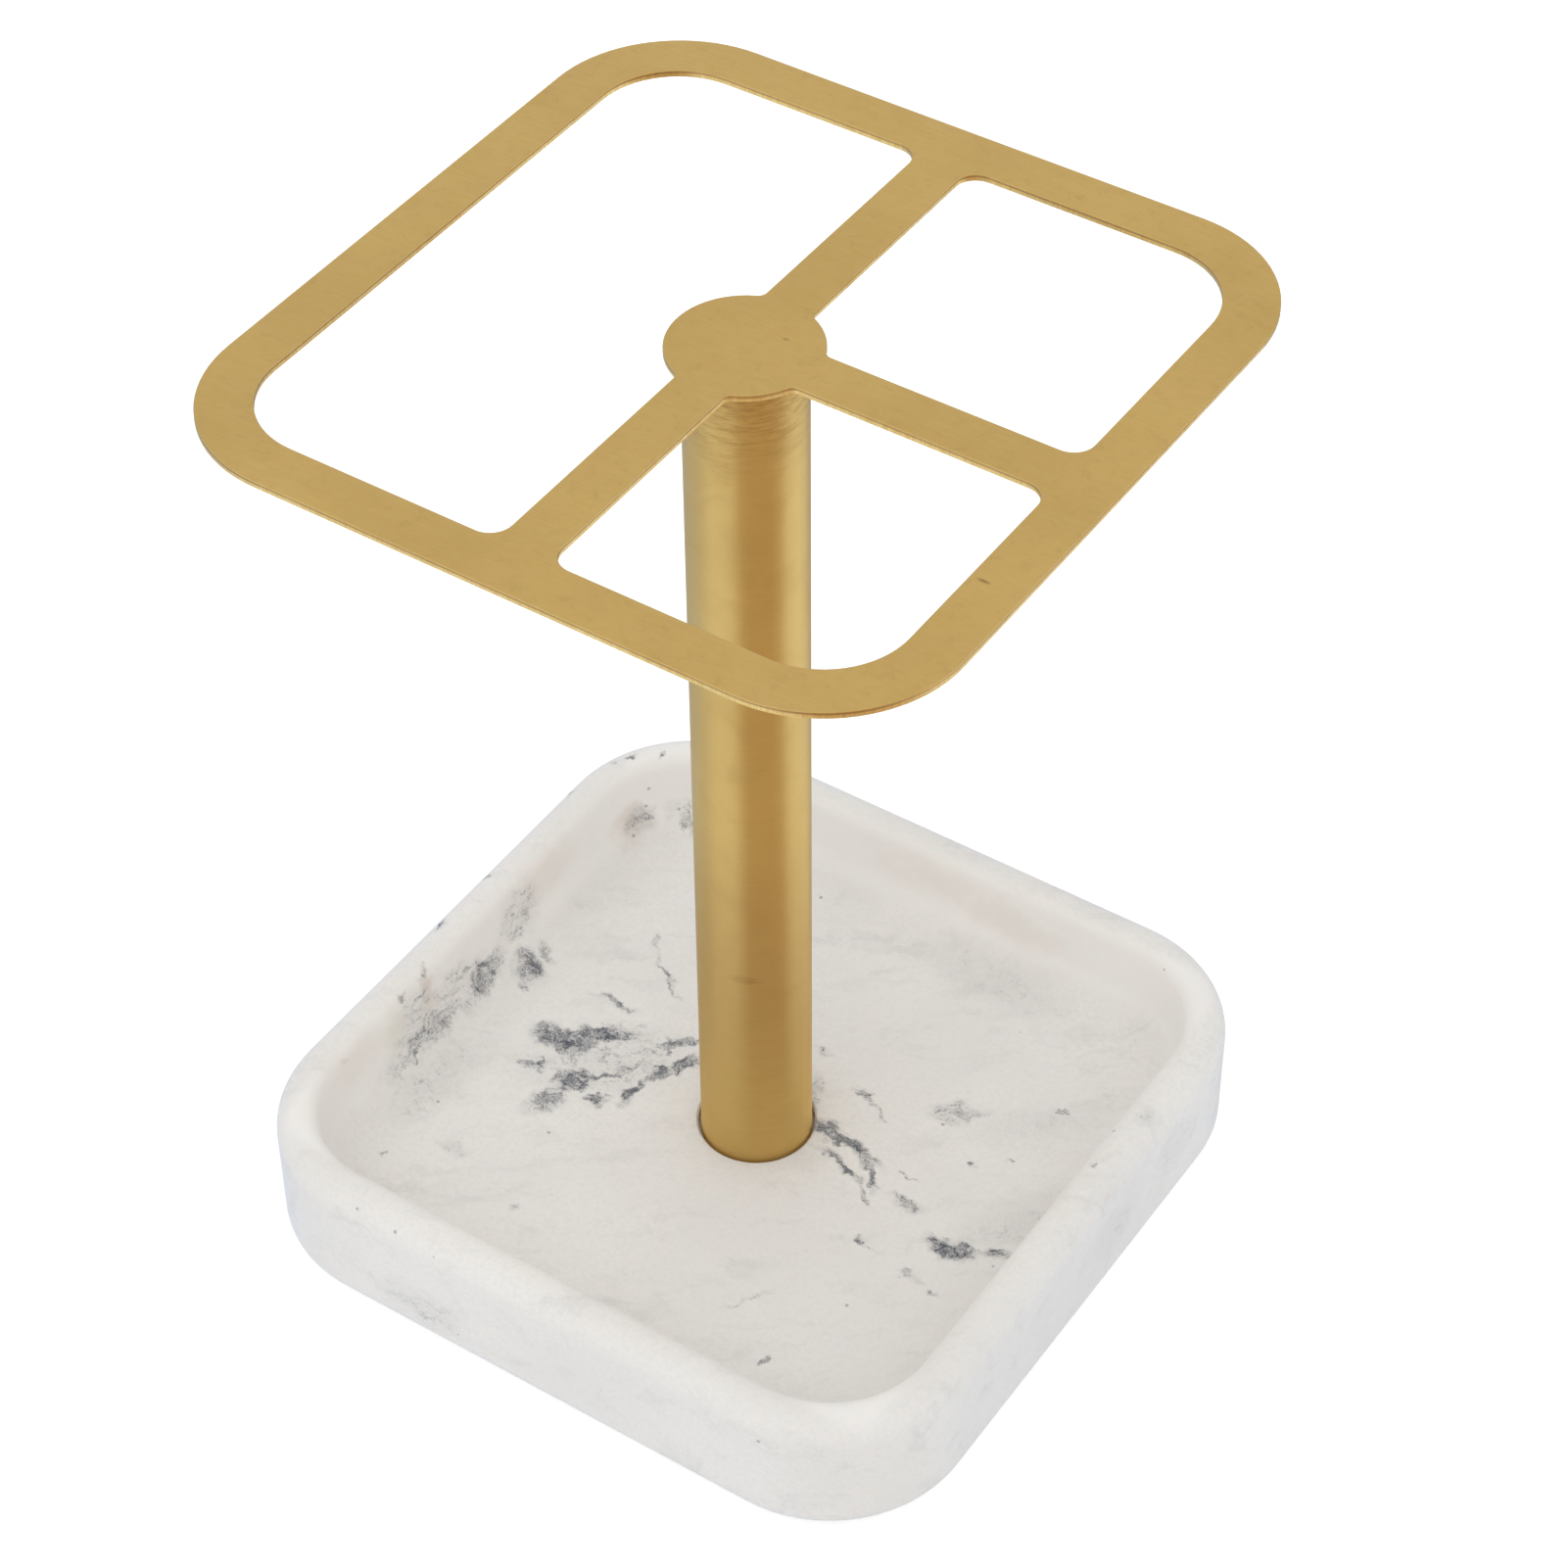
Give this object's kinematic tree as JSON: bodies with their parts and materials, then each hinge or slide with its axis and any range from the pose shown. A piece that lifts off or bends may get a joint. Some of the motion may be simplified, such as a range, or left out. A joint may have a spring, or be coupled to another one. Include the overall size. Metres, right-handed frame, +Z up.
{
  "type": "razor stand",
  "caption": "Counter-top razor stand: rounded square marble-look dish, brushed gold post and a thin rounded square rack plate with a hub and spokes dividing it into openings.",
  "frame": {"origin": "on the post's axis, in the plane the foot pads stand on", "axes": "+Z up along the post; +X along the rack's short spoke, towards the two small openings; +Y along the long spoke, to the rear"},
  "size_m": [0.11, 0.108, 0.1488],
  "materials": {
    "marble_resin": "satin cast resin with a white marble look and fine blue-grey veins",
    "brushed_gold_plate": "brushed gold, straight grain along X",
    "brushed_gold_tube": "satin gold, fine grain round the tube",
    "plated_steel": "zinc plated",
    "soft_pad": "matte"
  },
  "bodies": {
    "root": {"dish_base": "marble_resin", "post_tube": "brushed_gold_tube", "rack_plate": "brushed_gold_plate", "plate_stud": "plated_steel", "top_plug": "plated_steel", "bottom_plug": "plated_steel", "base_screw": "plated_steel", "base_washer": "plated_steel", "foot_pad_front_left": "soft_pad", "foot_pad_front_right": "soft_pad", "foot_pad_rear_left": "soft_pad", "foot_pad_rear_right": "soft_pad"}
  },
  "joints": []
}
